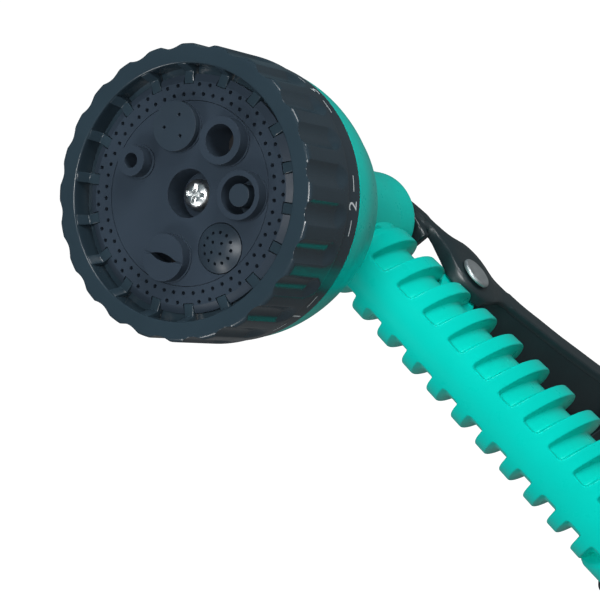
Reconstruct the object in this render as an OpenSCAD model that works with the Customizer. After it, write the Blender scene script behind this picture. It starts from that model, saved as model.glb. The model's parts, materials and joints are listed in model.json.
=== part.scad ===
/* [Head] */
// Outer diameter of the dial over its finger ridges
dial_d = 70; // [68:0.5:72]
// Depth of the dial ring from its front face to its rear edge
dial_depth = 25; // [24:0.5:27]
// Angle of the head axis above horizontal when the grip is upright
head_tilt = 30; // [28:1:32]
// Distance along the head axis from the elbow to the dial's front face
head_reach = 66.4; // [66:0.2:68]
// Depth of the nozzle disc below the dial's front face
disc_recess = 3.5; // [3:0.1:4]
// Number of finger scallops round the dial
scallops = 24; // [20:1:28]
// Number of small bars inside the dial's mouth
mouth_bars = 18; // [18:18:18]

/* [Nozzles] */
// Radius of the circle that the nozzles stand on
nozzle_ring_r = 15.85; // [15.5:0.05:16.2]
// Number of click positions
positions = 7; // [7:1:7]

/* [Neck and grip] */
// Outer radius of the round neck
neck_r = 13.3; // [13:0.1:14]
// How far the neck runs behind the elbow
neck_back = 29.2; // [29:0.1:30]
// How far the hose inlet's axis lies behind the elbow
inlet_back = 8.6; // [8.4:0.1:8.8]
// Height of the elbow above the hose inlet's mouth
elbow_z = 145; // [144:1:150]
// Number of grip ribs
ribs = 11; // [9:1:11]
// Distance from one rib to the next
rib_pitch = 9.83; // [9.5:0.01:10]
// Drop of the uppermost rib's front below the elbow
first_rib_drop = 13.1; // [13:0.1:14]
// Slant of the ribs, down toward the back
rib_slant = 25; // [22:1:28]
// Half width of the uppermost rib
rib_half_w = 11.7; // [11.5:0.1:12]
// Growth of the half width from one rib to the next
rib_growth = 0.36; // [0.3:0.01:0.4]
// How far the grip's back moves out from one rib to the next
back_growth = 0.92; // [0.8:0.02:0.96]
// Depth of the uppermost slot between the ribs
slot_depth = 3.3; // [2.8:0.1:3.4]
// Growth of the slots' depth from one rib to the next
slot_growth = 0.2; // [0.1:0.01:0.22]
// Half width of the smooth band down the grip's front
band_half_w = 4.9; // [4.5:0.1:5.5]

/* [Lever] */
// Distance of the pivot behind the grip axis
pivot_y = 22.3; // [22:0.1:23]
// Drop of the pivot below the elbow
pivot_drop = 43.4; // [43:0.1:44]
// Half width of the lever
lever_half_w = 10.6; // [10.4:0.1:10.8]
// Inner half width of the lever's arms
arm_inner = 7.4; // [7.3:0.1:7.6]

/* [Hose inlet] */
// Wall radius of the inlet's thread, drawn as a plain bore
thread_r = 13.1; // [13:0.05:13.3]
// Length of the inlet's thread
thread_len = 11; // [10:0.5:11]

/* [Hidden] */
$fn = 96;
black = [0.13, 0.17, 0.21];
teal = [0.04, 0.75, 0.69];
rubber = [0.07, 0.07, 0.08];
steel = [0.62, 0.65, 0.66];
brass = [0.72, 0.58, 0.3];
dial_r = dial_d / 2;
mouth_r = 30.2;
band_r = dial_r - 0.8;
band_front = 18;
skirt_r = 31.3;
flange_r = 25.6;
disc_r = 21.8;
plate_r = 28.2;
bar_w = 2.5;
bar_turn = 15;
hole_r = 0.48;
inner_row_r = 23.45;
outer_row_r = 25.7;
nozzle_turn = -91.6;
fan_turn = -53.5;
screw_r = 2;
neck_front = 19.9;
neck_front_r = 15.2;
bore_r = 6.2;
bore_top_y = 3.6;
chamber_r = 8.2;
gland_r = 9;
stem_r = 2.5;
seat_z = 15.5;
spring_back = -20.6;
grip_front = -9.6;
band_proud = 0.25;
band_r_front = 22;
grip_back = 17.6;
rib_tip_h = 3.9;
rib_root_h = 5.2;
grip_end_z = 16 - elbow_z;
grip_end_h = 9.5;
pin_r = 2.2;
ear_r = 6.3;
lug_half_w = 7;
yoke_z = -35.5;
yoke_t = 3;
web_top = -50;
web_t = 2.6;
side_t = 2.3;
boss_half_w = 12;
boss_r = 9.2;

// ---- frames: the elbow, the head axis (+Z forward) and the dial's front face ----
module at_elbow() translate([0, -inlet_back, elbow_z]) children();
module at_head() at_elbow() rotate([90 - head_tilt, 0, 0]) children();
module at_dial() at_head() translate([0, 0, head_reach]) children();
module at_pivot() at_elbow() translate([0, pivot_y, -pivot_drop]) rotate([0, 90, 0]) children();
module at_nozzle(k) rotate([0, 0, nozzle_turn + k * 360 / positions])
    translate([nozzle_ring_r, 0, 0]) children();

// ---- shared shapes ----
module rod(r, z0, z1) translate([0, 0, z0]) cylinder(r = r, h = z1 - z0);
module tube(r_out, r_in, z0, z1) difference() {
    rod(r_out, z0, z1);
    rod(r_in, z0 - 1, z1 + 1);
}
// a section drawn as [radius, height] points, turned about Z
module lathe(points) rotate_extrude() polygon(points);
// a smooth curve through the points, each stretch in n steps
function curve(p, n) = [for (i = [0 : len(p) - 2], j = [0 : n - (i < len(p) - 2 ? 1 : 0)])
    let (t = j / n, a = p[max(i - 1, 0)], b = p[i], c = p[i + 1], d = p[min(i + 2, len(p) - 1)])
    0.5 * (2 * b + (c - a) * t + (2 * a - 5 * b + 4 * c - d) * t * t
        + (3 * b - a - 3 * c + d) * t * t * t)];
function reversed(p) = [for (i = [len(p) - 1 : -1 : 0]) p[i]];
function moved(p, by) = [for (q = p) q + by];
// a coil spring of round wire, from z0 to z1, whose end turns lie close to their neighbours
function coil_z(t, turns) = t < 1 ? 0 : t > turns - 1 ? 1 : (t - 1) / (turns - 2);
module coil(r, wire_r, z0, z1, turns, steps = 14, sides = 8) {
    n = turns * steps;
    end_rise = 2.3 * wire_r;
    free_rise = z1 - z0 - 2 * wire_r - 2 * end_rise;
    rings = [for (i = [0 : n]) let (t = i / steps, a = 360 * t,
        z = z0 + wire_r + end_rise * (min(t, 1) + max(t - turns + 1, 0))
            + free_rise * coil_z(t, turns))
        [for (j = [0 : sides - 1]) let (b = 360 * j / sides, q = r + wire_r * cos(b))
            [q * cos(a), q * sin(a), z + wire_r * sin(b)]]];
    points = [for (ring = rings) each ring];
    walls = [for (i = [0 : n - 1], j = [0 : sides - 1]) let (k = (j + 1) % sides)
        [i * sides + j, (i + 1) * sides + j, (i + 1) * sides + k, i * sides + k]];
    cap_a = [for (j = [0 : sides - 1]) j];
    cap_b = [for (j = [sides - 1 : -1 : 0]) n * sides + j];
    polyhedron(points, concat([cap_a], walls, [cap_b]));
}

// ---- dial ----
module scallop() {
    cut_r = 4.9;
    depth = 1.1;
    translate([dial_r - depth + cut_r, 0, 0]) {
        rod(cut_r, -13.5, 1);
        translate([0, 0, -17.4]) cylinder(r1 = 3, r2 = cut_r, h = 3.9);
    }
}
module mouth_bar() rotate([90, 0, 0]) translate([0, 0, -bar_w / 2]) linear_extrude(bar_w)
    polygon([[30.8, -0.4], [30.1, -0.4], [28.9, -3.8], [25.9, -3.6], [25.9, -6.4], [30.8, -6.4]]);
module bezel_ring() color(black) at_dial() {
    difference() {
        lathe([[mouth_r, 0], [dial_r - 0.6, 0], [dial_r, -0.6], [dial_r, -band_front],
            [band_r, -band_front - 0.6], [band_r, 0.4 - dial_depth], [band_r - 0.4, -dial_depth],
            [skirt_r, -dial_depth], [skirt_r, -8], [flange_r, -8], [flange_r, -5.9],
            [mouth_r, -5.9]]);
        for (i = [0 : scallops - 1]) rotate([0, 0, i * 360 / scallops]) scallop();
    }
    for (i = [0 : mouth_bars - 1]) rotate([0, 0, bar_turn + i * 360 / mouth_bars]) mouth_bar();
}
module shower_plate() color(black) at_dial() {
    step = 360 / mouth_bars;
    difference() {
        lathe([[disc_r + 0.12, -disc_recess], [26.4, -disc_recess], [plate_r, -disc_recess - 0.9],
            [plate_r, -5.9], [disc_r + 0.12, -5.9]]);
        for (i = [0 : mouth_bars - 1]) rotate([0, 0, bar_turn + i * step]) {
            translate([25.8, -bar_w / 2 - 0.2, -7]) cube([4, bar_w + 0.4, 5]);
            for (a = [step / 2 - step / 6, step / 2 + step / 6]) rotate([0, 0, a])
                translate([outer_row_r, 0, -7]) cylinder(r = hole_r, h = 5, $fn = 16);
            for (a = [step / 6, step / 2, 5 * step / 6]) rotate([0, 0, a])
                translate([inner_row_r, 0, -7]) cylinder(r = hole_r, h = 5, $fn = 16);
        }
    }
}
boss = [[6.3, 0], [6.05, 3.7], [5.95, 3.9], [6, 2.9], [4, 4], [0, 0], [5.9, 3.4]];
module nozzle_disc() color(black) at_dial() {
    face = -disc_recess;
    difference() {
        union() {
            rod(disc_r, -6.5, face);
            rod(7.3, -12.2, face);
            for (k = [1, 2, 3, 4, 6]) at_nozzle(k) {
                rod(boss[k][0] - 0.3, face - 1, face + boss[k][1] - (k == 3 ? 1.3 : 0));
                rod(min(boss[k][0] + 0.2, 5.9), face - 1, face + 0.5);
            }
            for (k = [0 : 6]) if (k != 5) at_nozzle(k) rod(6.3, -10, -6);
        }
        rod(5.8, -10.6, 2);
        rod(screw_r + 0.3, -13, 0);
        at_nozzle(0) rod(6.05, -8.5, 2);
        at_nozzle(0) rod(2.3, -11, 0);
        at_nozzle(1) rod(4.5, -8.5, 2);
        at_nozzle(1) rod(2.3, -11, 0);
        at_nozzle(2) rod(3.8, -11, 2);
        at_nozzle(3) rod(4.7, -8.5, 2);
        at_nozzle(3) rod(2.3, -11, 0);
        at_nozzle(4) rod(1.8, -11, 2);
        at_nozzle(5) rod(2.3, -7, 1 - disc_recess - 2);
        at_nozzle(6) rod(4.1, -11, -3);
        at_nozzle(6) rotate([0, 0, -nozzle_turn - 6 * 360 / positions + fan_turn]) fan_slot();
    }
}
// the fan nozzle's lens-shaped slot in a shallow V
module fan_slot() {
    arc_r = 7.7;
    translate([0, 0, -4]) linear_extrude(6) intersection() {
        translate([0, arc_r - 0.95]) circle(arc_r);
        translate([0, 0.95 - arc_r]) circle(arc_r);
    }
    translate([0, 0, boss[6][1] - disc_recess + 0.35]) rotate([45, 0, 0])
        cube([14, 1, 1], center = true);
}
module soft_rose() color(black) at_dial() at_nozzle(3) difference() {
    top = boss[3][1] - disc_recess;
    union() {
        rod(4.65, -7.5, top - 1);
        rod(boss[3][0] - 0.05, top - 1.2, top);
    }
    rod(3.6, -8, top - 1.6);
    for (a = [28 : 120 : 268]) rotate([0, 0, a - nozzle_turn - 3 * 360 / positions])
        translate([2.9, 0, -8]) cylinder(r = 0.42, h = 9, $fn = 16);
}
module cone_core() color(black) at_dial() at_nozzle(1) difference() {
    union() {
        rod(2.7, -7.4, boss[1][1] - disc_recess - 0.5);
        rod(4.45, -8.5, -7.4);
    }
    for (a = [0 : 90 : 270]) rotate([0, 0, a]) translate([3.5, 0, -9]) cylinder(r = 0.6, h = 2, $fn = 16);
}
module mist_rose() color(black) at_dial() at_nozzle(0) difference() {
    dome_r = 11.5;
    intersection() {
        rod(5.85, -8.4, 0);
        translate([0, 0, -disc_recess + 1.7 - dome_r]) sphere(dome_r, $fn = 128);
    }
    rod(4.6, -9, -5);
    for (ring = [[1.7, 4, 0], [3.7, 12, 13.5]], i = [0 : ring[1] - 1])
        rotate([0, 0, ring[2] + i * 360 / ring[1] - nozzle_turn]) translate([ring[0], 0, -9])
            cylinder(r = 0.4, h = 9, $fn = 16);
}
module distributor() color(black) at_dial() difference() {
    union() {
        rod(31, -15, -11);
        tube(31, 29.5, -11.5, -8);
    }
    rod(7.5, -12.3, 0);
    rod(screw_r + 0.4, -16, 0);
    for (k = [0 : positions - 1]) at_nozzle(k) rod(2.3, -16, -10);
    for (k = [0 : positions - 1]) rotate([0, 0, nozzle_turn + 180 + k * 360 / positions])
        translate([24, 0, -15.9]) sphere(1.6);
}
module dial_gasket() color(rubber) at_dial() difference() {
    rod(29.3, -11, -10);
    rod(7.6, -12, 0);
    for (k = [0 : positions - 1]) at_nozzle(k) rod(2.3, -12, -9);
}

// ---- fixed front plate and what it holds ----
module dial_screw() color(steel) at_dial() difference() {
    union() {
        lathe([[0, -6], [1.9, -6.15], [3.1, -6.7], [3.75, -7.6], [3.75, -9.8], [0, -9.8]]);
        rod(screw_r, -23, -9.8);
    }
    for (a = [45, 135]) rotate([0, 0, a]) translate([-2.5, -0.55, -7.4]) cube([5, 1.1, 3]);
    translate([0, 0, -8.3]) cylinder(r1 = 0.5, r2 = 1.5, h = 1.8, $fn = 4);
}
module dial_washer() color(steel) at_dial() tube(3.7, screw_r + 0.02, -10.4, -9.8);
module valve_plate() color(black) at_dial() difference() {
    union() {
        rod(28.4, -20, -15.5);
        rod(6.5, -27, -20);
        at_nozzle(0) rod(5.6, -23.5, -20);
        rotate([0, 0, nozzle_turn + 180]) translate([24, 0, 0]) rod(3, -22.5, -20);
    }
    rod(3.4, -24, -15);
    rod(screw_r + 0.1, -25, -15);
    at_nozzle(0) rod(3.9, -21.5, -15);
    at_nozzle(0) rod(2.4, -24, -15);
    rotate([0, 0, nozzle_turn + 180]) translate([24, 0, 0]) rod(1.7, -21, -15);
    tube(30, 26.6, -19, -17.2);
}
module plate_oring() color(rubber) at_dial() rotate_extrude() translate([27.6, -18.1])
    circle(0.85, $fn = 32);
module screw_insert() color(brass) at_dial() tube(3.4, screw_r + 0.02, -24, -16);
module port_seal() color(rubber) at_dial() at_nozzle(0) tube(3.7, 2.2, -18.5, -15.1);
module port_spring() color(steel) at_dial() at_nozzle(0) coil(2.95, 0.25, -21.45, -18.55, 4);
module detent_ball() color(steel) at_dial() rotate([0, 0, nozzle_turn + 180])
    translate([24, 0, -16.65]) sphere(1.5);
module detent_spring() color(steel) at_dial() rotate([0, 0, nozzle_turn + 180])
    translate([24, 0, 0]) coil(1.2, 0.2, -20.95, -18.2, 5);

// ---- body ----
module head_cup() color(teal) at_dial() difference() {
    lathe(concat([[0, -15.5], [30.9, -15.5], [30.9, -25.3], [band_r - 0.2, -25.3]],
        curve([[band_r - 0.2, -25.6], [33.3, -31], [31.5, -37], [29.4, -42], [27.8, -45.4]], 5),
        [[27.2, -46.1], [14.5, -46.5], [0, -46.5]]));
    rod(28.6, -26, -15);
    lathe([[0, -25.9], [28.6, -25.9], [28.2, -33], [26, -39.5], [23, -43.3], [0, -43.3]]);
    rod(11, -47, -43);
}

// half width and back of the grip at rib k
function rib_w(k) = rib_half_w + rib_growth * k;
function rib_back(k) = grip_back + back_growth * k;
function rib_z(k) = -first_rib_drop - rib_pitch * k;
module grip_outline(w, front, back) {
    mid = (front + back) / 2;
    half = (back - front) / 2;
    side_r = half * half / w;
    intersection() {
        translate([0, mid]) circle(half);
        translate([side_r - w, mid]) circle(side_r);
        translate([w - side_r, mid]) circle(side_r);
    }
}
module slab(z0, z1) translate([0, 0, z0]) linear_extrude(z1 - z0) children();
// a slice of an upright outline between two slanted planes h apart, its front middle at z
module slice(z, h) intersection() {
    slab(z - 22, z + 6) children();
    translate([0, grip_front, z]) rotate([-rib_slant, 0, 0])
        translate([-25, -5, -h * cos(rib_slant) / 2]) cube([50, 50, h * cos(rib_slant)]);
}
module slot_outline(k, share = 1) {
    depth = (slot_depth + slot_growth * k) * share;
    grip_outline(rib_w(k) - depth, grip_front + 1.4 * share, rib_back(k) - depth);
}
module grip_ribs() {
    last = ribs - 1;
    intersection() {
        for (k = [0 : last]) {
            slice(rib_z(k) - rib_pitch / 2, rib_pitch + 1.5) slot_outline(k);
            slice(rib_z(k), rib_root_h) slot_outline(k, 0.45);
            slice(rib_z(k), rib_tip_h) grip_outline(rib_w(k), grip_front + band_proud, rib_back(k));
        }
        translate([-30, -30, grip_end_z + 1]) cube([60, 80, -grip_end_z - 6]);
    }
    // the smooth band down the front
    slab(grip_end_z + 2, -6) intersection() {
        translate([-band_half_w, grip_front - 1]) square([2 * band_half_w, 8]);
        translate([0, grip_front + band_r_front]) circle(band_r_front);
    }
    // the first rib's sloping top
    for (step = [[1.9, 0.35], [3.4, 0.7]]) slice(rib_z(0) + step[0], rib_tip_h) slot_outline(0, step[1]);
    // the top that runs into the neck, and the plain end that meets the hose collar
    slab(-rib_pitch - 6, -2) slot_outline(-1);
    slab(grip_end_z, grip_end_z + grip_end_h)
        grip_outline(rib_w(last) + 0.5, grip_front - 0.2, rib_back(last) + 0.5);
}
module bore() at_elbow() translate([0, bore_top_y, 0])
    rotate([atan((inlet_back - bore_top_y) / elbow_z), 0, 0]) rod(bore_r, -elbow_z, -2);
module handle() color(teal) difference() {
    union() {
        at_head() {
            lathe([[0, -neck_back], [neck_r - 0.7, -neck_back], [neck_r, 1 - neck_back], [neck_r, -20],
                [neck_front_r, neck_front], [0, neck_front]]);
            rod(10.95, neck_front - 1, neck_front + 4.5);
        }
        at_elbow() {
            grip_ribs();
            translate([-lug_half_w, 10, -pivot_drop - 5.6]) cube([2 * lug_half_w, pivot_y - 10, 11.2]);
        }
        at_pivot() rod(6.2, -lug_half_w, lug_half_w);
    }
    at_pivot() rod(pin_r + 0.02, -9, 9);
    // relief for the lever's ears
    for (x = [-14, lug_half_w + 0.05]) at_pivot() translate([0, 0, x])
        cylinder(r = ear_r + 0.7, h = 13.95 - lug_half_w);
    at_head() {
        rod(chamber_r, -22, seat_z + 2.5);
        rod(gland_r + 0.05, -neck_back - 1, -21);
        rod(5, 0, 30);
    }
    bore();
    rod(13.55, 10, 24);
}

// ---- valve ----
module valve_seat() color(brass) at_head() tube(chamber_r - 0.02, 4.2, seat_z, seat_z + 2.45);
module valve_washer() color(rubber) at_head() tube(6.4, 1.52, seat_z - 2.5, seat_z - 0.1);
module washer_nut() color(brass) at_head() difference() {
    translate([0, 0, seat_z - 0.1]) cylinder(r = 3.4, h = 2, $fn = 6);
    rod(1.52, 0, 20);
}
module valve_stem() color(steel) at_head() {
    rod(1.5, seat_z - 2.6, seat_z + 2.5);
    rod(6, seat_z - 4.3, seat_z - 2.5);
    rod(stem_r, -42.6, seat_z - 4);
}
module valve_spring() color(steel) at_head() coil(5.2, 0.55, spring_back, seat_z - 4.4, 9);
module gland_nut() color(black) at_head() difference() {
    union() {
        rod(gland_r, -neck_back, -21);
        translate([0, 0, -neck_back - 2.6]) cylinder(r = 10.6, h = 2.6, $fn = 6);
        rod(5.5, -neck_back - 3.4, -neck_back);
    }
    rod(stem_r + 0.06, -40, 0);
    rod(4.3, -25.5, -23.6);
}
module stem_oring() color(rubber) at_head() rotate_extrude() translate([3.42, -24.55])
    circle(0.86, $fn = 32);
module stem_knob() color(brass) at_head() difference() {
    rod(7.2, -42, -38.9);
    rod(stem_r + 0.02, -43, -38);
}

// ---- lever ----
lever_back = curve([[29.4, -15.9], [31.5, -21.6], [33.1, -27.8], [33.8, -34], [34.3, -40], [35.4, -47],
    [37.2, -54.5], [39, -62], [42.1, -69.4], [45.5, -77.5], [49.6, -85.7], [53.8, -94.1],
    [61, -107], [67.2, -117.6]], 4);
lever_front = curve([[27.8, -17.2], [28.3, -23.5], [27.6, -28.5], [23, -33.2], [18.2, -37.8],
    [16.6, -43.4], [17.8, -48.6], [21.6, -52.4], [29.4, -56.5], [33.4, -64.6], [39, -77.6],
    [47, -93.6], [55.4, -108.6], [62.6, -120.6]], 4);
module side(half_w, points) at_elbow() rotate([90, 0, 90]) translate([0, 0, -half_w])
    linear_extrude(2 * half_w) polygon(points);
module lever() color(black) difference() {
    union() {
        difference() {
            side(lever_half_w, concat(lever_back, reversed(lever_front)));
            // the open channel of the lower lever
            side(lever_half_w - side_t, concat([[5, web_top]], [for (q = moved(lever_back, [-web_t, 0]))
                if (q[1] < web_top && q[1] > -113) q], [[5, -113]]));
            // the gap between the arms
            side(arm_inner, [[5, web_top], [5, 0], [60, 0], [60, web_top]]);
        }
        // the raised bosses round the pivot
        difference() {
            at_pivot() translate([-1.4, 4.9, 0]) rod(boss_r, -boss_half_w, boss_half_w);
            side(lever_half_w - 0.5, [[5, 0], [60, 0], [60, -70], [5, -70]]);
        }
        // the yoke that joins the arms behind the neck
        at_head() translate([1.4 - lever_half_w, -11.3, yoke_z - yoke_t / 2])
            cube([2 * (lever_half_w - 1.4), 10.8, yoke_t]);
        at_head() for (x = [-7.6, 3.4]) translate([x, -0.9, yoke_z - yoke_t / 2]) rotate([0, 90, 0])
            cylinder(r = 1.5, h = 4.2);
    }
    at_pivot() rod(pin_r + 0.08, -14, 14);
    at_head() translate([-3.2, -5, yoke_z - 4]) cube([6.4, 12, 8]);
}
module pivot_pin() color(steel) at_pivot() {
    face = boss_half_w + 0.2;
    rod(pin_r, -face - 1.3, face + 0.1);
    lathe([[0, face], [4.6, face], [4.6, face + 0.7], [4.2, face + 1.1], [0, face + 1.1]]);
}
module pin_cap() color(steel) at_pivot() tube(4.2, pin_r + 0.01, -boss_half_w - 1.5, -boss_half_w - 0.2);

// ---- hose inlet ----
module inlet_collar() color(black) difference() {
    union() {
        lathe([[0, 0], [16.9, 0], [17.7, 0.8], [17.7, 15.2], [16.9, 16], [0, 16]]);
        rod(13.5, 15, 24);
    }
    rod(thread_r, -1, thread_len);
    rod(12.6, 5, 13.2);
    rod(9.2, 5, 14.4);
    rod(bore_r, 5, 25);
    for (a = [0 : 30 : 330]) rotate([0, 0, a]) translate([19.9, 0, 0]) rod(2.9, 2.2, 17);
}
module hose_washer() color(rubber) tube(12.55, 7.2, thread_len + 0.1, 13.15);
module filter_screen() color(steel) difference() {
    rod(9.15, 13.25, 14.35);
    for (ring = [[0, 1], [1.9, 6], [3.8, 12], [5.7, 18]], i = [0 : ring[1] - 1])
        rotate([0, 0, i * 360 / ring[1]]) translate([ring[0], 0, 13]) cylinder(r = 0.6, h = 2, $fn = 16);
}

bezel_ring();
shower_plate();
nozzle_disc();
soft_rose();
cone_core();
mist_rose();
dial_screw();
dial_washer();
distributor();
dial_gasket();
valve_plate();
plate_oring();
screw_insert();
port_seal();
port_spring();
detent_ball();
detent_spring();
head_cup();
handle();
valve_seat();
valve_washer();
washer_nut();
valve_stem();
valve_spring();
gland_nut();
stem_oring();
stem_knob();
lever();
pivot_pin();
pin_cap();
inlet_collar();
hose_washer();
filter_screen();
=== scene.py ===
"""A hose spray nozzle: smooth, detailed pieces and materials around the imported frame."""

import json
import math

import bmesh
import bpy
import numpy as np
from mathutils import Matrix, Vector


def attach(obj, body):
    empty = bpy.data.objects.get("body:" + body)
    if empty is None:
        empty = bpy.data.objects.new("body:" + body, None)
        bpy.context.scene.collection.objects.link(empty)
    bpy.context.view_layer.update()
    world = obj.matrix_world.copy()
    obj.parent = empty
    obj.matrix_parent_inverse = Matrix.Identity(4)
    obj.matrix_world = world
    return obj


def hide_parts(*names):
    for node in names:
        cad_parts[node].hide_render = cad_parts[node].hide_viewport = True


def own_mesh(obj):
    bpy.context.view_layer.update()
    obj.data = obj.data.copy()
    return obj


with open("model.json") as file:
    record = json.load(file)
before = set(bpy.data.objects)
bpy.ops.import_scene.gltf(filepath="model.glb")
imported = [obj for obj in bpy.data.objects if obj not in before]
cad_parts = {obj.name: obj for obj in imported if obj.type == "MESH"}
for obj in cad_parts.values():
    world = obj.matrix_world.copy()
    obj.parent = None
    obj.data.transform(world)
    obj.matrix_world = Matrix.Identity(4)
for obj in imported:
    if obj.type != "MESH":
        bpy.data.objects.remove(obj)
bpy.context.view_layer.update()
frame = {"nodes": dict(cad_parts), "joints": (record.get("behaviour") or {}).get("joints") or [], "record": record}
nodes = frame["nodes"]
joints = {joint["name"]: joint for joint in frame["joints"]}

# ---- driving dimensions, in millimetres as in the CAD source ----
MM = 0.001
WELD = 1e-6  # metres
HEAD_REACH = 66.4
DIAL_R = 35.0
DIAL_DEPTH = 25.0
BAND_R = 34.2
BAND_FRONT = 18.0
MOUTH_R = 30.2
SKIRT_R = 31.3
LIP_R, LIP_FRONT, LIP_BACK = 25.6, 5.9, 8.0
SCALLOPS = 24
SCALLOP_CENTRE_R, SCALLOP_R, SCALLOP_END_R = 38.8, 4.9, 3.0
SCALLOP_TAPER_START, SCALLOP_TAPER = 14.0, 6.5
BARS = 18
BAR_TURN = 15.0
BAR_W = 2.5
BAR_EDGE = 0.22
NOZZLE_TURN = -91.6
POSITIONS = 7
PRINT_MIDDLE, PRINT_SIZE, PRINT_RISE = -21.7, 5.2, 0.02
TICK_STARTS, TICK_LENGTH, TICK_HALF_W = (-7.2, 3.4), 3.8, 0.16
NECK_R = 13.3
NECK_FRONT = 19.9
NECK_FRONT_R = 15.2
NECK_WAIST = -20
NECK_BACK = 29.2
GLAND_R = 9.05
RIBS = 11
RIB_PITCH = 9.83
FIRST_RIB = 13.1
RIB_SLOPE = math.tan(math.radians(25))
RIB_HALF_W = 11.7
RIB_GROWTH = 0.36
BACK_GROWTH = 0.92
SLOT_DEPTH = 3.3
SLOT_GROWTH = 0.2
GRIP_FRONT = -9.6
GRIP_BACK = 17.6
BAND_HALF_W = 4.9
POCKET_H = 5.9
POCKET_WALL = 4.0
CORNER_R = 1.4
NECK_FILLET = 1.4
GRIP_END = -129.0
GRIP_END_H = 9.5
LUG_HALF_W = 7.0
LUG_R = 6.2
LUG_ROOT_Y, LUG_ROOT_HALF_H = 10, 6.0
LEVER_HALF_W = 10.6
LEVER_VOXEL = 0.36
CHANNEL_HALF_W = 7.4
CHANNEL_Y = (5, 32.2)
CHANNEL_TOP_Z = (-51.6, -49.9)
BOSS_RISE = 1.4
BOSS_BACK, BOSS_UP = 4.9, 1.4
BOSS_FLAT, BOSS_FOOT = 6.0, 13.5
PIN_HOLE_KEEP = 4.0

# ---- studio: strengths and colours seen by the object, and by the camera ----
FLOOR_GLOW = (0.07, 1.02)
FLOOR_GREY = 0.14
FLOOR_HALF = 60.0
DIM_WALL = (0.085, 0.125, 0.145)
BRIGHT_WALL = (1.05, 1.05, 1.05)
LIGHT_AIM = (0, 0, 0.13)
FOCAL, SENSOR = 129.03, 36.0

# ---- material scales: noise cycles to the metre, and bump heights in metres ----
FLOW, SMEAR, TARNISH = 55.0, 240.0, 160.0
PLASTIC_GRAIN, METAL_GRAIN = 0.00004, 0.00003

# ---- frames: the elbow, the head axis (+Z forward, +Y up) and the dial's front face ----
elbow = Vector(joints["dial_turn"]["pos_m"])
forward = Vector(joints["dial_turn"]["axis"]).normalized()
side = Vector((1, 0, 0))
head_up = forward.cross(side)
HEAD = Matrix.Translation(elbow) @ Matrix((side, head_up, forward)).transposed().to_4x4()
HEAD = HEAD @ Matrix.Scale(MM, 4)
DIAL = HEAD @ Matrix.Translation((0, 0, HEAD_REACH))
UPRIGHT = Matrix.Translation(elbow) @ Matrix.Scale(MM, 4)
PIVOT = Matrix.Translation(joints["lever_squeeze"]["pos_m"]) @ Matrix.Scale(MM, 4)


# ---- building blocks ----
def smoothstep(low, high, x):
    """0 below low, 1 above high, and a smooth rise between them."""
    t = np.clip((x - low) / (high - low), 0, 1)
    return t * t * (3 - 2 * t)


def soft_min(values, k):
    """The least of several values, rounded over a width of about k where they cross."""
    return -k * np.log(sum(np.exp(-v / k) for v in values))


def finish_piece(mesh, name, body, material, sharp=None):
    """Turns a mesh in the shared frame into a shaded piece that rides on a body."""
    mesh.shade_smooth()
    if sharp is not None:
        mesh.set_sharp_from_angle(angle=math.radians(sharp))
    piece = bpy.data.objects.new(name, mesh)
    bpy.context.scene.collection.objects.link(piece)
    mesh.materials.clear()
    mesh.materials.append(material)
    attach(piece, body)
    return piece


def mesh_from(parts, name, matrix):
    """One mesh of several (points, faces) shells, given in millimetres in a frame."""
    points, faces = [], []
    for some_points, some_faces in parts:
        base = len(points)
        points += [tuple(p) for p in some_points]
        faces += [tuple(base + i for i in face) for face in some_faces]
    mesh = bpy.data.meshes.new(name)
    mesh.from_pydata(points, [], faces)
    mesh.transform(matrix)
    work = bmesh.new()
    work.from_mesh(mesh)
    bmesh.ops.recalc_face_normals(work, faces=work.faces)
    work.to_mesh(mesh)
    work.free()
    return mesh


def skin(rows, loop=False):
    """Quads over rows of points that close round; loop joins the last row to the first."""
    n, m, _ = rows.shape
    faces = []
    for i in range(n if loop else n - 1):
        a, b = i * m, ((i + 1) % n) * m
        faces += [(a + j, a + (j + 1) % m, b + (j + 1) % m, b + j) for j in range(m)]
    if not loop:
        faces += [tuple(range(m)), tuple(range((n - 1) * m, n * m))]
    return rows.reshape(-1, 3), faces


def rounded(corners, steps=5):
    """A polyline through (radius, height, fillet) corners with each corner rounded."""
    line = []
    for i, (x, y, fillet) in enumerate(corners):
        here = np.array((x, y), float)
        if fillet == 0:
            line.append(here)
            continue
        before = np.array(corners[i - 1][:2], float)
        after = np.array(corners[(i + 1) % len(corners)][:2], float)
        start = here + (before - here) * min(0.5, fillet / np.linalg.norm(before - here))
        end = here + (after - here) * min(0.5, fillet / np.linalg.norm(after - here))
        for t in np.linspace(0, 1, steps):
            line.append((1 - t) ** 2 * start + 2 * t * (1 - t) * here + t * t * end)
    return np.array(line)


def finer(line, step):
    """The same closed line with no stretch longer than step."""
    out = []
    for i, a in enumerate(line):
        b = line[(i + 1) % len(line)]
        n = max(1, math.ceil(np.linalg.norm(b - a) / step))
        out += [a + (b - a) * k / n for k in range(n)]
    return np.array(out)


def turned(profile, count=160):
    """A closed profile of (radius, height) turned about Z."""
    angles = np.arange(count) * 2 * math.pi / count
    rows = [
        np.stack([r * np.cos(angles), r * np.sin(angles), np.full(count, z)], 1)
        for r, z in profile
    ]
    return skin(np.array(rows), loop=True)


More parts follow.
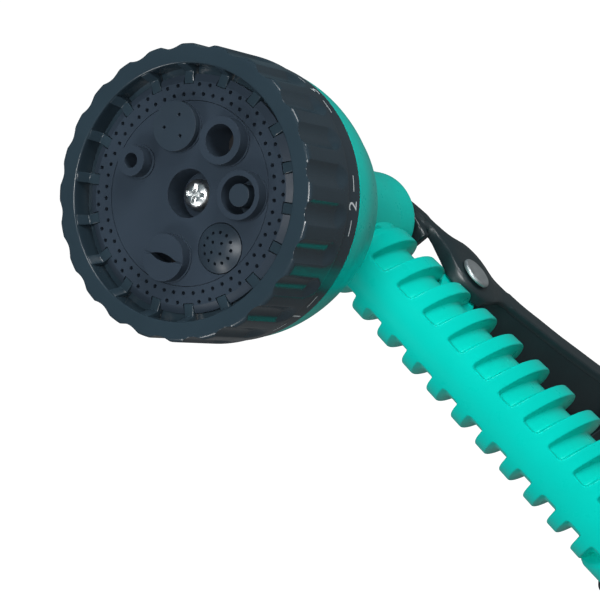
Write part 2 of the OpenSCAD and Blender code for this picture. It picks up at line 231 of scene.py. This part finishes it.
def softened(node, body, material, width, angle=30.0, segments=2):
    """A copy of a CAD node with small rounds on its convex edges, standing for it."""
    work = bmesh.new()
    work.from_mesh(nodes[node].data)
    bmesh.ops.remove_doubles(work, verts=work.verts, dist=WELD)
    flat = math.radians(0.4)
    bmesh.ops.dissolve_limit(work, angle_limit=flat, verts=work.verts, edges=work.edges)
    weight = work.edges.layers.float.new("bevel_weight_edge")
    for edge in work.edges:
        if edge.calc_face_angle(0) > math.radians(angle):
            if edge.is_convex:
                edge[weight] = 1.0
            else:
                edge.smooth = False
    mesh = bpy.data.meshes.new(node + "_soft")
    work.to_mesh(mesh)
    work.free()
    mesh.shade_smooth()
    if "custom_normal" in mesh.attributes:
        mesh.attributes.remove(mesh.attributes["custom_normal"])
    rough = bpy.data.objects.new(node + "_rough", mesh)
    bpy.context.scene.collection.objects.link(rough)
    bevel = rough.modifiers.new("rounds", "BEVEL")
    bevel.width = width * MM
    bevel.segments = segments
    bevel.limit_method = "WEIGHT"
    bevel.use_clamp_overlap = True
    even = rough.modifiers.new("even", "WEIGHTED_NORMAL")
    even.keep_sharp = True
    even.weight = 100
    piece = applied(rough, node + "_soft")
    done = finish_piece(piece, node + "_detail", body, material)
    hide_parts(node)
    return done


def applied(rough, name):
    """The mesh of an object with its modifiers applied; the object is removed."""
    bpy.context.view_layer.update()
    seen = rough.evaluated_get(bpy.context.evaluated_depsgraph_get())
    mesh = bpy.data.meshes.new_from_object(seen)
    mesh.name = name
    bpy.data.objects.remove(rough)
    return mesh


# ---- materials ----
def new_material(name):
    """A node material, with its tree and its shader."""
    material = bpy.data.materials.new(name)
    material.use_nodes = True
    tree = material.node_tree
    return material, tree, tree.nodes["Principled BSDF"]


def noise(tree, scale, detail, rough=0.5):
    """Noise in the object's own coordinates."""
    where = tree.nodes.new("ShaderNodeTexCoord")
    texture = tree.nodes.new("ShaderNodeTexNoise")
    texture.inputs["Scale"].default_value = scale
    texture.inputs["Detail"].default_value = detail
    texture.inputs["Roughness"].default_value = rough
    tree.links.new(where.outputs["Object"], texture.inputs["Vector"])
    return texture


def ramp(tree, source, low, high, start=0.3, end=0.7):
    """A map from a texture's middle range to low..high."""
    node = tree.nodes.new("ShaderNodeMapRange")
    node.inputs["From Min"].default_value = start
    node.inputs["From Max"].default_value = end
    node.inputs["To Min"].default_value = low
    node.inputs["To Max"].default_value = high
    tree.links.new(source, node.inputs["Value"])
    return node.outputs["Result"]


def tint(tree, source, dark, light):
    """A colour between dark and light, by the source's share."""
    node = tree.nodes.new("ShaderNodeMix")
    node.data_type = "RGBA"
    node.inputs[6].default_value = (*dark, 1)
    node.inputs[7].default_value = (*light, 1)
    tree.links.new(source, node.inputs[0])
    return node.outputs[2]


def add_bump(tree, shader, height, strength, distance):
    """Relief in the shader's normal, distance high."""
    bump = tree.nodes.new("ShaderNodeBump")
    bump.inputs["Strength"].default_value = strength
    bump.inputs["Distance"].default_value = distance
    tree.links.new(height, bump.inputs["Height"])
    tree.links.new(bump.outputs["Normal"], shader.inputs["Normal"])


def plastic(
    name, colour, roughness, grain=2600.0, texture=0.25, spread=0.08, shine=0.3,
    glint=(1, 1, 1),
):
    """Moulded plastic: slight flow marks in colour and gloss, and a fine spark-eroded grain."""
    material, tree, shader = new_material(name)
    flow = noise(tree, FLOW, 3.0)
    dark = [c * (1 - spread) for c in colour]
    light = [min(1, c * (1 + spread)) for c in colour]
    flow_share = ramp(tree, flow.outputs["Fac"], 0.0, 1.0)
    tree.links.new(tint(tree, flow_share, dark, light), shader.inputs["Base Color"])
    smear = noise(tree, SMEAR, 4.0, 0.6)
    gloss = ramp(tree, smear.outputs["Fac"], roughness * 0.88, roughness * 1.14)
    tree.links.new(gloss, shader.inputs["Roughness"])
    fine = noise(tree, grain, 1.0)
    add_bump(tree, shader, fine.outputs["Fac"], texture, PLASTIC_GRAIN)
    shader.inputs["Specular IOR Level"].default_value = shine
    shader.inputs["Specular Tint"].default_value = (*glint, 1)
    return material


def metal(name, colour, roughness, grain=900.0, texture=0.15):
    """Metal with faint drawn streaks and a little tarnish."""
    material, tree, shader = new_material(name)
    shader.inputs["Metallic"].default_value = 1.0
    tarnish = noise(tree, TARNISH, 4.0)
    share = ramp(tree, tarnish.outputs["Fac"], 0.0, 1.0)
    dark = [c * 0.86 for c in colour]
    tree.links.new(tint(tree, share, dark, colour), shader.inputs["Base Color"])
    streak = noise(tree, grain, 3.0)
    gloss = ramp(tree, streak.outputs["Fac"], roughness * 0.8, roughness * 1.3)
    tree.links.new(gloss, shader.inputs["Roughness"])
    add_bump(tree, shader, streak.outputs["Fac"], texture, METAL_GRAIN)
    return material


MAT = {
    "dial_plastic": plastic("dial_plastic", (0.020, 0.035, 0.047), 0.20, texture=0.06, shine=0.45),
    "disc_plastic": plastic("disc_plastic", (0.028, 0.040, 0.056), 0.36, texture=0.12, shine=0.12),
    "rose_plastic": plastic("rose_plastic", (0.024, 0.036, 0.050), 0.34),
    "teal_plastic": plastic(
        "teal_plastic", (0.0, 0.60, 0.50), 0.30, grain=900.0, texture=0.03, spread=0.03,
        shine=0.25, glint=(0.4, 1.0, 0.95),
    ),
    "lever_plastic": plastic("lever_plastic", (0.010, 0.022, 0.026), 0.40, texture=0.12, shine=0.7),
    "collar_plastic": plastic("collar_plastic", (0.018, 0.022, 0.026), 0.38),
    "inner_plastic": plastic("inner_plastic", (0.02, 0.02, 0.022), 0.5),
    "rubber": plastic("rubber", (0.012, 0.012, 0.013), 0.75, grain=1800.0, texture=0.4),
    "chrome_screw": metal("chrome_screw", (0.86, 0.88, 0.88), 0.3),
    "steel": metal("steel", (0.58, 0.60, 0.61), 0.3),
    "pin_steel": metal("pin_steel", (0.60, 0.64, 0.65), 0.5),
    "brass": metal("brass", (0.72, 0.53, 0.24), 0.3),
    "print_white": plastic("print_white", (0.62, 0.66, 0.68), 0.5, grain=4000.0, spread=0.04),
}
slot_of = {s["node"]: s["material_slot"] for s in frame["record"]["subparts"]}
for node, thing in nodes.items():
    thing.data.materials.clear()
    thing.data.materials.append(MAT[slot_of[node]])


# ---- dial ring ----
def dial_ring():
    """The dial's outer ring: one section swept round, with its finger scallops cut in."""
    corners = [
        (MOUTH_R, -LIP_FRONT, 0), (MOUTH_R, 0, 0.5), (DIAL_R, 0, 1.1), (DIAL_R, -BAND_FRONT, 0.25),
        (BAND_R, -BAND_FRONT - 0.55, 0.25), (BAND_R, -DIAL_DEPTH, 0.45),
        (SKIRT_R, -DIAL_DEPTH, 0), (SKIRT_R, -LIP_BACK, 0), (LIP_R, -LIP_BACK, 0),
        (LIP_R, -LIP_FRONT, 0),
    ]
    profile = finer(rounded(corners, 6), 0.7)
    count = SCALLOPS * 22
    angles = np.arange(count) * 2 * math.pi / count
    step = 2 * math.pi / SCALLOPS
    off = (angles + step / 2) % step - step / 2
    uncut = 99.0
    edge_softness = 0.07
    rows = []
    for r, z in profile:
        taper = max(0, (-z - SCALLOP_TAPER_START) / SCALLOP_TAPER)
        cutter = SCALLOP_R - (SCALLOP_R - SCALLOP_END_R) * taper
        reach = cutter ** 2 - (SCALLOP_CENTRE_R * np.sin(off)) ** 2
        bottom = SCALLOP_CENTRE_R * np.cos(off) - np.sqrt(np.maximum(reach, 0))
        groove = np.where(reach > 0, bottom, uncut)
        if r > SKIRT_R + 1 and -z < BAND_FRONT - 0.3:
            radius = soft_min([np.full(count, r), groove], edge_softness)
        else:
            radius = np.full(count, r)
        across, up = radius * np.cos(angles), radius * np.sin(angles)
        rows.append(np.stack([across, up, np.full(count, z)], 1))
    mesh = mesh_from([skin(np.array(rows), loop=True)], "dial_ring", DIAL)
    ring = finish_piece(mesh, "dial_ring", "dial", MAT["dial_plastic"], sharp=24)
    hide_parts("bezel_ring")


def bevelled_prism(outline, half_w, width, segments=2):
    """An outline of (y, z) points drawn out along X, with rounded edges, as points and faces."""
    work = bmesh.new()
    ends = []
    for x in (-half_w, half_w):
        ends.append([work.verts.new((x, y, z)) for y, z in outline])
    work.faces.new(ends[0])
    work.faces.new(list(reversed(ends[1])))
    n = len(outline)
    for i in range(n):
        j = (i + 1) % n
        work.faces.new((ends[0][i], ends[1][i], ends[1][j], ends[0][j]))
    bmesh.ops.recalc_face_normals(work, faces=work.faces)
    edges = [e for e in work.edges if e.calc_face_angle(0) > math.radians(25)]
    bmesh.ops.bevel(
        work, geom=edges, offset=width, segments=segments, profile=0.6,
        affect="EDGES", clamp_overlap=True,
    )
    work.verts.ensure_lookup_table()
    points = np.array([v.co for v in work.verts])
    faces = [tuple(v.index for v in f.verts) for f in work.faces]
    work.free()
    return points, faces


def mouth_bars():
    """The small stepped bars inside the dial's mouth."""
    outline = [(30.8, -0.4), (30.1, -0.4), (28.9, -3.8), (25.9, -3.6), (25.9, -6.4), (30.8, -6.4)]
    points, faces = bevelled_prism(outline, BAR_W / 2, BAR_EDGE)
    shells = []
    for i in range(BARS):
        a = math.radians(BAR_TURN + i * 360 / BARS)
        radial, cross = points[:, 1], points[:, 0]
        x = radial * math.cos(a) - cross * math.sin(a)
        y = radial * math.sin(a) + cross * math.cos(a)
        shells.append((np.stack([x, y, points[:, 2]], 1), faces))
    mesh = mesh_from(shells, "mouth_bars", DIAL)
    bars = finish_piece(mesh, "mouth_bars", "dial", MAT["dial_plastic"], sharp=50)


def numbers():
    """Numerals and index lines printed on the band behind the finger grooves."""
    print_r = BAND_R + PRINT_RISE
    tick_steps = 8
    quads = [(2 * i, 2 * i + 1, 2 * i + 3, 2 * i + 2) for i in range(tick_steps)]
    shells = []
    for k in range(POSITIONS):
        text = bpy.data.curves.new(f"figure_{k + 1}", "FONT")
        text.body = str(k + 1)
        text.size = PRINT_SIZE
        text.align_x = "CENTER"
        text.align_y = "CENTER"
        text.resolution_u = 6
        letter = bpy.data.objects.new(f"figure_{k + 1}", text)
        bpy.context.scene.collection.objects.link(letter)
        flat = applied(letter, f"figure_{k + 1}")
        points = np.array([v.co for v in flat.vertices])
        faces = [tuple(f.vertices) for f in flat.polygons]
        turn = math.radians(NOZZLE_TURN + k * 360 / POSITIONS)
        parts = [(points[:, :2], faces)]
        for start in TICK_STARTS:
            xs = np.linspace(start, start + TICK_LENGTH, tick_steps + 1)
            strip = [(x, y) for x in xs for y in (-TICK_HALF_W, TICK_HALF_W)]
            parts.append((np.array(strip), quads))
        for flat_points, flat_faces in parts:
            a = turn + flat_points[:, 0] / print_r
            heights = PRINT_MIDDLE + flat_points[:, 1]
            ring = np.stack([print_r * np.cos(a), print_r * np.sin(a), heights], 1)
            shells.append((ring, flat_faces))
    mesh = mesh_from(shells, "dial_numbers", DIAL)
    printed = finish_piece(mesh, "dial_numbers", "dial", MAT["print_white"])


# ---- bowl, neck and grip ----
def bowl():
    """The round cup behind the dial: outside from the rim to the neck, then the inside."""
    corners = [
        (30.9, -15.5, 0), (30.9, -25.3, 0), (34.0, -25.3, 0.3), (33.3, -31, 3.2),
        (31.5, -37, 3.2), (29.4, -42, 2.6), (27.7, -46.3, 1.1), (14.5, -46.5, 0),
        (11.0, -46.5, 0), (11.0, -43.3, 0), (26, -39.5, 0), (28.2, -33, 0), (28.6, -15.5, 0),
    ]
    mesh = mesh_from([turned(finer(rounded(corners, 7), 1.2), count=200)], "bowl", DIAL)
    cup = finish_piece(mesh, "bowl", "body", MAT["teal_plastic"], sharp=50)
    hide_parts("head_cup")


def grip_radius(angles, k, inset, front):
    """The grip's middle, and the distance from it to the outline at rib k, less an inset."""
    corner_softness = 0.5
    w = RIB_HALF_W + RIB_GROWTH * k - inset
    back = GRIP_BACK + BACK_GROWTH * k - inset
    middle, half = (front + back) / 2, (back - front) / 2
    side_r = half * half / w
    across = np.sin(angles)
    circles = [np.full(len(angles), half)]
    for c in (side_r - w, w - side_r):
        along = c * across
        circles.append(along + np.sqrt(side_r ** 2 - c ** 2 + along ** 2))
    return middle, soft_min(circles, corner_softness)


def neck_radius(along):
    """The neck's outer radius at a distance along the head axis."""
    share = np.clip((along - NECK_WAIST) / (NECK_FRONT - NECK_WAIST), 0, 1)
    return NECK_R + (NECK_FRONT_R - NECK_R) * share


def neck_fillet(x, y, z):
    """How far the grip swells where it runs into the neck."""
    radius = NECK_FILLET
    up = y * head_up.y + z * head_up.z
    along = y * forward.y + z * forward.z
    rise = radius - np.clip(np.hypot(x, up) - neck_radius(along), 0, radius)
    return radius - np.sqrt(np.maximum(radius ** 2 - rise ** 2, 0))


def grip_columns(k):
    """Angles round the grip from its front middle, close together along the band's edges."""
    near = np.concatenate([[0, 1.6, 3.1, 4.1], np.arange(4.5, 6.7, 0.14)])
    first_guess_r = 14
    angles = np.arcsin(near / first_guess_r)
    for _ in range(4):
        angles = np.arcsin(near / grip_radius(angles, k, 0, GRIP_FRONT)[1])
    half = np.concatenate([angles, np.linspace(angles[-1], math.pi, 60)[1:]])
    return np.concatenate([half, -half[-2:0:-1]])


def grip():
    """The ribbed grip as one skin: slanted ribs, and pockets that end at a front band."""
    corners = [(-1, 0, 0), (0, 0, 0.45), (0.75, POCKET_WALL, 0.7), (2.2, POCKET_WALL, 0)]
    wall = rounded(corners, 6)
    into, drop = wall[:, 0], wall[:, 1] / POCKET_WALL
    half = POCKET_H / 2
    outside_band = -9.0
    # heights of the rows at the grip's front: the top, then every pocket, then the plain end
    levels = [-6.0, -7.0, -8.0, -9.0, -9.8, -10.6, -11.4]
    for j in range(RIBS):
        middle = -FIRST_RIB - RIB_PITCH * (j + 0.5)
        edge = [half - i for i in into]
        levels += [middle + e for e in edge] + [middle, *(middle - e for e in edge[::-1])]
    levels += [-121.0, -124.0, -128.0, -136.0]
    rows = []
    for t in levels:
        # k counts ribs down the grip; in_x and in_y are how far a point is outside a pocket
        k = (-t - FIRST_RIB) / RIB_PITCH
        depth = SLOT_DEPTH + SLOT_GROWTH * max(k, -1)
        angles = grip_columns(k)
        direction = np.stack([np.sin(angles), -np.cos(angles)], 1)
        middle, full = grip_radius(angles, k, 0, GRIP_FRONT)
        slot_middle, slot = grip_radius(angles, k, depth, GRIP_FRONT + 1.4)
        x = np.abs(full * direction[:, 0])
        in_y = abs((k - 0.5) - min(max(round(k - 0.5), 0), RIBS - 1)) * RIB_PITCH - half
        in_x = np.where(direction[:, 1] < 0, BAND_HALF_W - x, outside_band)
        round_x, round_y = in_x + CORNER_R, in_y + CORNER_R
        edge = np.minimum(np.maximum(round_x, round_y), 0) - CORNER_R
        edge = edge + np.hypot(np.maximum(round_x, 0), max(round_y, 0))
        share = 1 - np.interp(-edge, into, drop)
        slope = smoothstep(0, 5.0, t + FIRST_RIB - 1.7)
        share = share * (1 - slope * np.interp(-in_x, into, drop))
        outer = direction * full[:, None] + (0, middle)
        inner = direction * slot[:, None] + (0, slot_middle)
        flat = inner + (outer - inner) * share[:, None]
        z = t - (flat[:, 1] - GRIP_FRONT) * RIB_SLOPE
        flat = flat + direction * neck_fillet(flat[:, 0], flat[:, 1], z)[:, None]
        rows.append(np.column_stack([flat, z]))
    return skin(np.array(rows))


def cut_below(mesh, height):
    """Cuts the mesh off level at a height in millimetres below the elbow, and closes it."""
    work = bmesh.new()
    work.from_mesh(mesh)
    everything = work.verts[:] + work.edges[:] + work.faces[:]
    at = UPRIGHT @ Vector((0, 0, height))
    cut = bmesh.ops.bisect_plane(
        work, geom=everything, plane_co=at, plane_no=(0, 0, -1), clear_outer=True
    )
    rim = [e for e in cut["geom_cut"] if isinstance(e, bmesh.types.BMEdge)]
    bmesh.ops.edgeloop_fill(work, edges=rim)
    work.to_mesh(mesh)
    work.free()


def body():
    """The teal body: the ribbed grip, its plain foot, the neck and the lever's lug."""
    ribs = mesh_from([grip()], "grip_ribs", UPRIGHT)
    cut_below(ribs, GRIP_END + 2)
    last = RIBS - 1
    count = 168
    angles = np.arange(count) * 2 * math.pi / count
    middle, outline = grip_radius(angles, last, -0.5, GRIP_FRONT - 0.2)
    rows = []
    top = GRIP_END + GRIP_END_H
    for inset, z in [
        (4.0, GRIP_END), (0.8, GRIP_END), (0.25, GRIP_END + 0.3), (0, GRIP_END + 0.9),
        (0, top - 1.2), (0.3, top - 0.45), (1.1, top), (4.0, top),
    ]:
        r = outline - inset
        across, along = r * np.sin(angles), middle - r * np.cos(angles)
        rows.append(np.stack([across, along, np.full(count, z)], 1))
    foot = mesh_from([skin(np.array(rows))], "grip_foot", UPRIGHT)
    neck_line = [
        (GLAND_R, NECK_FRONT, 0), (NECK_FRONT_R, NECK_FRONT, 0), (NECK_R, NECK_WAIST, 0),
        (NECK_R, -NECK_BACK, 1.3), (GLAND_R, -NECK_BACK, 0.4), (GLAND_R, -21, 0),
    ]
    neck = mesh_from([turned(finer(rounded(neck_line, 7), 1.5))], "neck", HEAD)
    drop = PIVOT.translation - elbow
    py, pz = drop.y / MM, drop.z / MM
    arc = [math.radians(a) for a in range(-90, 91, 12)]
    outline = [(py + LUG_R * math.cos(a), pz + LUG_R * math.sin(a)) for a in arc]
    outline += [(LUG_ROOT_Y, pz + LUG_ROOT_HALF_H), (LUG_ROOT_Y, pz - LUG_ROOT_HALF_H)]
    lug = mesh_from([bevelled_prism(outline, LUG_HALF_W, 0.6, 3)], "lug", UPRIGHT)
    work = bmesh.new()
    for mesh in (ribs, foot, neck, lug):
        work.from_mesh(mesh)
    whole = bpy.data.meshes.new("body_shell")
    work.to_mesh(whole)
    work.free()
    shell = finish_piece(whole, "body_shell", "body", MAT["teal_plastic"], sharp=60)
    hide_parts("handle")


# ---- lever and valve spring ----
def melt(work, verts, rounds):
    """Smooths vertices towards their neighbours, several times over."""
    for _ in range(rounds):
        bmesh.ops.smooth_vert(
            work, verts=verts, factor=0.5, use_axis_x=True, use_axis_y=True, use_axis_z=True
        )


def lever():
    """The CAD lever with its edges melted a little, and the pivot bosses run into the arms."""
    rough = bpy.data.objects.new("lever_rough", nodes["lever"].data.copy())
    bpy.context.scene.collection.objects.link(rough)
    work = bmesh.new()
    work.from_mesh(rough.data)
    bmesh.ops.remove_doubles(work, verts=work.verts, dist=WELD)
    work.to_mesh(rough.data)
    work.free()
    # the open channel runs through to the gap between the arms
    corners = [
        (x, y, z) for x in (-CHANNEL_HALF_W, CHANNEL_HALF_W)
        for y in CHANNEL_Y for z in CHANNEL_TOP_Z
    ]
    sides = [(0, 1, 3, 2), (4, 6, 7, 5), (0, 4, 5, 1), (2, 3, 7, 6), (0, 2, 6, 4), (1, 5, 7, 3)]
    block = bpy.data.objects.new("block", mesh_from([(corners, sides)], "block", UPRIGHT))
    bpy.context.scene.collection.objects.link(block)
    opened = rough.modifiers.new("opened", "BOOLEAN")
    opened.operation, opened.solver, opened.object = "DIFFERENCE", "EXACT", block
    remesh = rough.modifiers.new("even", "REMESH")
    remesh.mode = "VOXEL"
    remesh.voxel_size = LEVER_VOXEL * MM
    mesh = applied(rough, "lever_shape")
    bpy.data.objects.remove(block)
    work = bmesh.new()
    work.from_mesh(mesh)
    to_pivot = PIVOT.inverted()
    swell_reach, melt_reach = 15, 18
    near = []
    for vert in work.verts:
        x, y, z = to_pivot @ vert.co
        away = math.hypot(y - BOSS_BACK, z - BOSS_UP)
        if abs(x) > LEVER_HALF_W - 1.0 and away < swell_reach:
            swell = BOSS_RISE * (1 - float(smoothstep(BOSS_FLAT, BOSS_FOOT, away)))
            vert.co = PIVOT @ Vector((math.copysign(LEVER_HALF_W + swell, x), y, z))
        in_arm = abs(x) > LEVER_HALF_W - 2.4 and away < melt_reach
        if in_arm and math.hypot(y, z) > PIN_HOLE_KEEP:
            near.append(vert)
    melt(work, near, 24)
    melt(work, work.verts, 3)
    work.to_mesh(mesh)
    work.free()
    piece = finish_piece(mesh, "lever_shape", "lever", MAT["lever_plastic"])
    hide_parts("lever")


def valve_coil():
    """The CAD valve spring, copied as one rigid piece that rides with the body."""
    mesh = nodes["valve_spring"].data.copy()
    coil = finish_piece(mesh, "valve_coil", "body", MAT["steel"], sharp=80)
    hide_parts("valve_spring")
    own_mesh(coil)


# ---- floor, wall, lights and camera ----
def stage():
    """A floor and wall that the camera sees as white, and that light the nozzle only softly."""
    floor_material, tree, shader = new_material("floor")
    shader.inputs["Base Color"].default_value = (FLOOR_GREY, FLOOR_GREY, FLOOR_GREY, 1)
    shader.inputs["Roughness"].default_value = 1.0
    shader.inputs["Specular IOR Level"].default_value = 0.0
    shader.inputs["Emission Color"].default_value = (1, 1, 1, 1)
    seen = tree.nodes.new("ShaderNodeLightPath").outputs["Is Camera Ray"]
    tree.links.new(ramp(tree, seen, *FLOOR_GLOW, 0.0, 1.0), shader.inputs["Emission Strength"])
    half = FLOOR_HALF
    mesh = bpy.data.meshes.new("floor")
    corners = [(-half, -half, 0), (half, -half, 0), (half, half, 0), (-half, half, 0)]
    mesh.from_pydata(corners, [], [(0, 1, 2, 3)])
    mesh.materials.append(floor_material)
    floor = bpy.data.objects.new("floor", mesh)
    bpy.context.scene.collection.objects.link(floor)
    world = bpy.data.worlds.new("studio")
    bpy.context.scene.world = world
    world.use_nodes = True
    tree = world.node_tree
    seen = tree.nodes.new("ShaderNodeLightPath").outputs["Is Camera Ray"]
    colour = tint(tree, seen, DIM_WALL, BRIGHT_WALL)
    tree.links.new(colour, tree.nodes["Background"].inputs["Color"])


def area_light(name, place, size, power):
    """A round soft light that faces the middle of the nozzle."""
    light = bpy.data.lights.new(name, "AREA")
    light.shape = "DISK"
    light.size = size
    light.energy = power
    lamp = bpy.data.objects.new(name, light)
    bpy.context.scene.collection.objects.link(lamp)
    lamp.location = place
    aim = Vector(LIGHT_AIM) - Vector(place)
    lamp.rotation_mode = "QUATERNION"
    lamp.rotation_quaternion = aim.to_track_quat("-Z", "Y")


def camera():
    """The photograph's view: from the front, a little to the right, with the camera rolled."""
    azimuth, elevation, roll = (math.radians(a) for a in (22.72, 8.98, 43.45))
    distance, look_at = 0.56, Vector((-0.0176, -0.0164, 0.1320))
    back = Vector((
        math.sin(azimuth) * math.cos(elevation),
        -math.cos(azimuth) * math.cos(elevation),
        math.sin(elevation),
    ))
    level_right = Vector((math.cos(azimuth), math.sin(azimuth), 0))
    level_up = back.cross(level_right)
    right = level_right * math.cos(roll) - level_up * math.sin(roll)
    up = back.cross(right)
    lens = bpy.data.cameras.new("camera")
    lens.sensor_width = SENSOR
    lens.lens = FOCAL
    lens.clip_start, lens.clip_end = 0.01, 200.0
    eye = bpy.data.objects.new("camera", lens)
    bpy.context.scene.collection.objects.link(eye)
    turn = Matrix((right, up, back)).transposed().to_4x4()
    eye.matrix_world = Matrix.Translation(look_at + back * distance) @ turn
    bpy.context.scene.camera = eye


# ---- the pieces ----
dial_ring()
mouth_bars()
numbers()
bowl()
body()
lever()
for node, body_name, width in [
    ("nozzle_disc", "dial", 0.16), ("soft_rose", "dial", 0.12), ("cone_core", "dial", 0.12),
    ("dial_screw", "body", 0.07), ("pivot_pin", "body", 0.2), ("inlet_collar", "body", 0.3),
    ("gland_nut", "body", 0.2), ("stem_knob", "stem", 0.25), ("pin_cap", "body", 0.15),
]:
    softened(node, body_name, MAT[slot_of[node]], width)
valve_coil()
stage()
area_light("key", (0.40, -1.45, 0.68), 0.6, 16.5)
area_light("left", (-1.0, -1.25, 0.34), 0.5, 7.0)
area_light("right", (1.2, -0.3, 0.75), 0.8, 12.5)
camera()
bpy.context.scene.view_settings.view_transform = "Standard"
